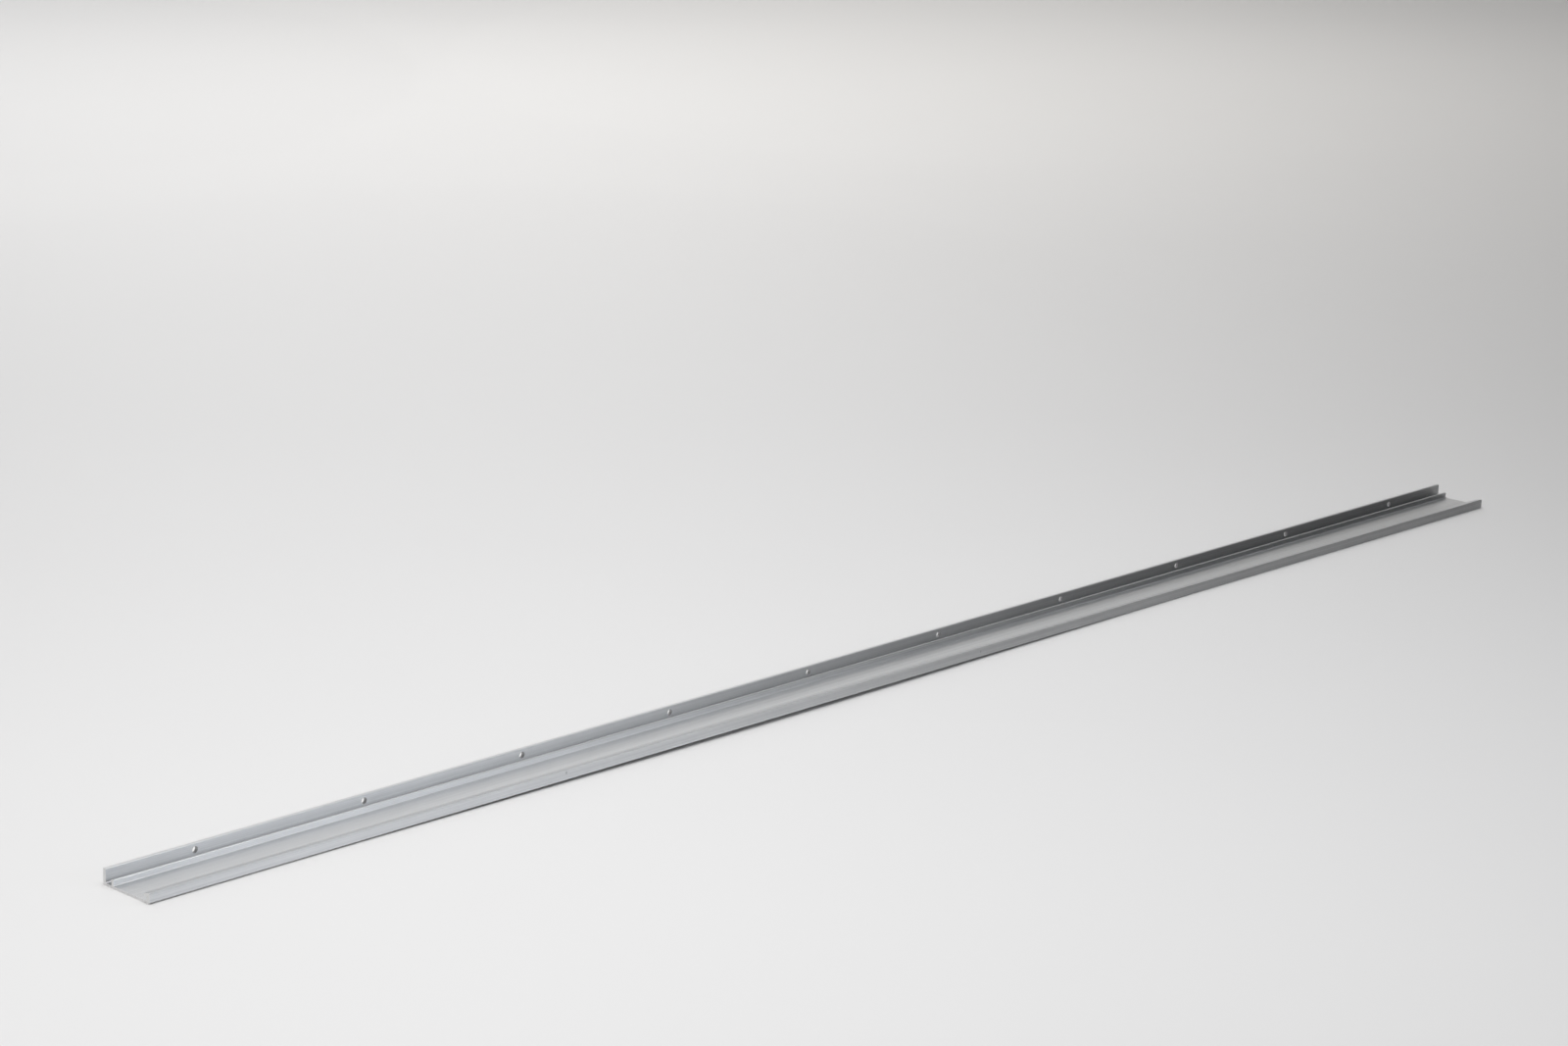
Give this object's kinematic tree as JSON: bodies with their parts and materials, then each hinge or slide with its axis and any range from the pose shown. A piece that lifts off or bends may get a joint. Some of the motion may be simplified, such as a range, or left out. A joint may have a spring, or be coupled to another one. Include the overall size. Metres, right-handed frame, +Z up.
{
  "type": "aluminium extrusion profile",
  "caption": "Straight aluminium extrusion with a flat web, a tall drilled mounting flange, a low rib that forms a groove beside it and a hooked front lip, cut square to length.",
  "frame": {"origin": "middle of the flat underside, halfway along the bar and halfway across the section", "axes": "+X along the bar, +Y from the hooked lip to the drilled flange, +Z up from the underside"},
  "size_m": [2, 0.068, 0.016],
  "materials": {
    "anodised_aluminium": "satin natural anodised, with fine lines along the bar"
  },
  "bodies": {
    "root": {"profile": "anodised_aluminium"}
  },
  "joints": []
}
